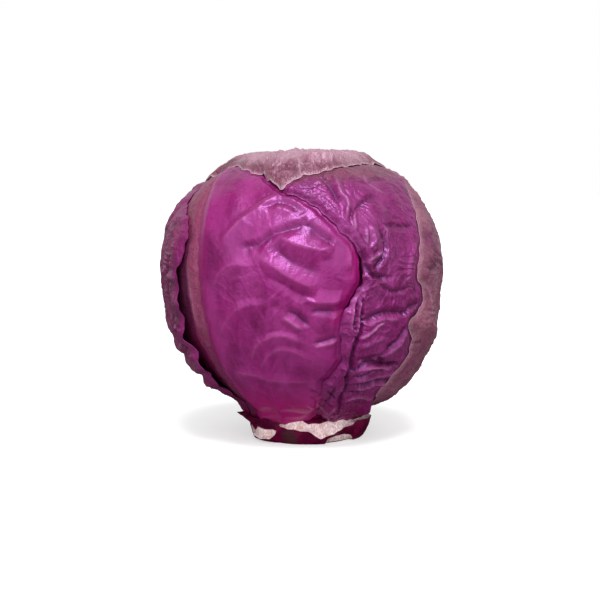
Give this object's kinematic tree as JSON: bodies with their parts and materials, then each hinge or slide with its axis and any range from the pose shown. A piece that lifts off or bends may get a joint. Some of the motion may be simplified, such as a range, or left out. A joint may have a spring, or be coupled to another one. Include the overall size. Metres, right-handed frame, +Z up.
{
  "type": "red cabbage head",
  "caption": "Round red cabbage head with large overlapping waxy leaves over a dense heart, standing on its short trimmed stem.",
  "frame": {"origin": "middle of the stem's flat cut, which rests on the table", "axes": "+Z up through the head to its crown, -Y towards the front leaf, +X to the right as seen from the front"},
  "size_m": [0.161, 0.1562, 0.164],
  "materials": {
    "heart_leaf": "dark maroon leaf in shade",
    "cut_stem": "moist cut flesh with a crimson rind",
    "inner_leaf": "dull brownish-pink leaf",
    "front_leaf": "waxy satin magenta-purple leaf",
    "crumpled_leaf": "waxy purple leaf with a dark net of veins",
    "outer_leaf": "greyish-purple leaf with a thin waxy bloom",
    "crown_leaf": "pale greyish-pink leaf with fine veins"
  },
  "bodies": {
    "root": {"heart": "heart_leaf", "stump": "cut_stem", "left_leaf": "inner_leaf", "front_leaf": "front_leaf", "right_leaf": "crumpled_leaf", "left_outer_leaf": "outer_leaf", "right_outer_leaf": "outer_leaf", "crown_leaf": "crown_leaf"}
  },
  "joints": []
}
